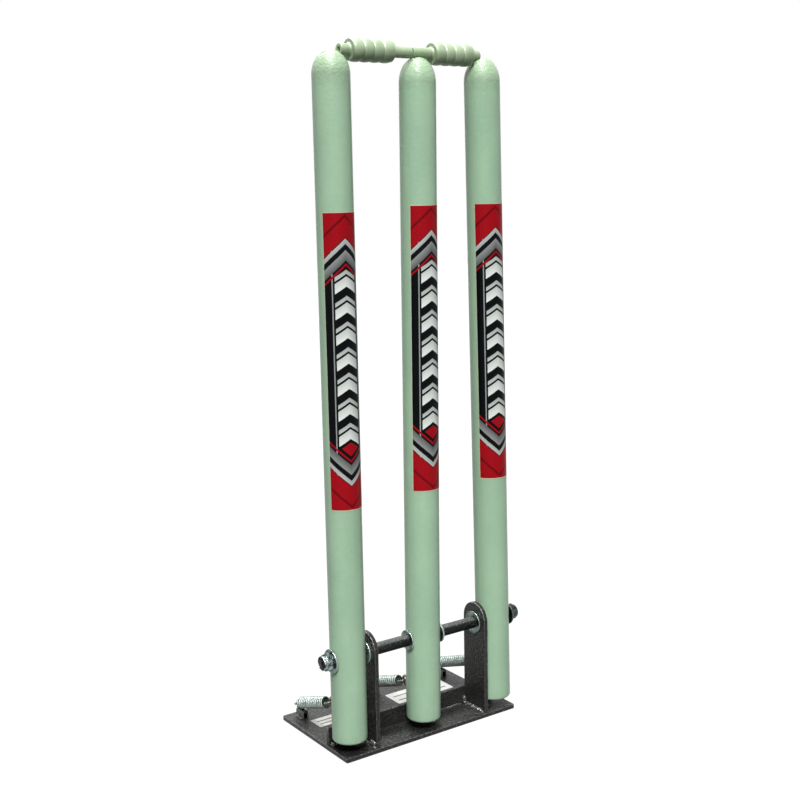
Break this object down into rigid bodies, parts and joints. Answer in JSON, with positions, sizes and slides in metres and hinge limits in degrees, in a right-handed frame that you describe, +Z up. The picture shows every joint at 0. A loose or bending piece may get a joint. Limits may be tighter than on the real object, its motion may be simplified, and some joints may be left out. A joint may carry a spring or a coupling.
{
  "type": "spring-return cricket stumps",
  "caption": "Target stumps for cricket practice that tip back when struck and are pulled upright again by springs, on a flat steel base, with loose bails across the top",
  "frame": {"origin": "centre of the base plate's underside, on the ground", "axes": "+Z up along the stumps, +X across the wicket from the left stump to the right one as the bowler sees them, +Y away from the bowler, the way a struck stump tips"},
  "size_m": [0.2566, 0.133, 0.723],
  "materials": {
    "hammered_paint": "charcoal hammered enamel, half gloss",
    "dark_steel": "dull oiled steel",
    "zinc_steel": "bright zinc plate",
    "black_nylon": "matt black nylon",
    "yellow_zinc": "yellow passivated zinc",
    "painted_wood": "pale green gloss paint on turned wood",
    "bail_plastic": "pale green moulded plastic, half gloss"
  },
  "bodies": {
    "frame": {"base_plate": "hammered_paint", "upright_left": "hammered_paint", "upright_right": "hammered_paint", "stop_bar": "hammered_paint", "spring_lug_left": "hammered_paint", "spring_lug_centre": "hammered_paint", "spring_lug_right": "hammered_paint", "axle_rod": "dark_steel", "spacer_tube_left": "dark_steel", "spacer_tube_right": "dark_steel", "outer_washer_left": "zinc_steel", "bracket_washer_left": "zinc_steel", "inner_washer_left": "zinc_steel", "centre_washer_left": "zinc_steel", "lock_nut_left": "zinc_steel", "outer_washer_right": "zinc_steel", "bracket_washer_right": "zinc_steel", "inner_washer_right": "zinc_steel", "centre_washer_right": "zinc_steel", "lock_nut_right": "zinc_steel", "spring_left": "zinc_steel", "spring_centre": "zinc_steel", "spring_right": "zinc_steel", "nylon_insert_left": "black_nylon", "nylon_insert_right": "black_nylon"},
    "stump_left": {"stump_left": "painted_wood", "screw_eye_left": "yellow_zinc"},
    "stump_centre": {"stump_centre": "painted_wood", "screw_eye_centre": "yellow_zinc"},
    "stump_right": {"stump_right": "painted_wood", "screw_eye_right": "yellow_zinc"},
    "bail_left": {"bail_left": "bail_plastic"},
    "bail_right": {"bail_right": "bail_plastic"}
  },
  "joints": [
    {"name": "left_stump_tilt", "type": "hinge", "parent": "frame", "child": "stump_left", "pos_m": [0, -0.0475, 0.1062], "axis": [-1, 0, 0], "range_deg": [0, 60], "stiffness_Nm_per_rad": 3, "springref_deg": -28.65, "deforming": ["spring_left"]},
    {"name": "centre_stump_tilt", "type": "hinge", "parent": "frame", "child": "stump_centre", "pos_m": [0, -0.0475, 0.1062], "axis": [-1, 0, 0], "range_deg": [0, 60], "stiffness_Nm_per_rad": 3, "springref_deg": -28.65, "deforming": ["spring_centre"]},
    {"name": "right_stump_tilt", "type": "hinge", "parent": "frame", "child": "stump_right", "pos_m": [0, -0.0475, 0.1062], "axis": [-1, 0, 0], "range_deg": [0, 60], "stiffness_Nm_per_rad": 3, "springref_deg": -28.65, "deforming": ["spring_right"]},
    {"name": "left_bail_lift", "type": "slide", "parent": "frame", "child": "bail_left", "axis": [0, 0, 1], "range_m": [0, 0.04]},
    {"name": "right_bail_lift", "type": "slide", "parent": "frame", "child": "bail_right", "axis": [0, 0, 1], "range_m": [0, 0.04]}
  ]
}
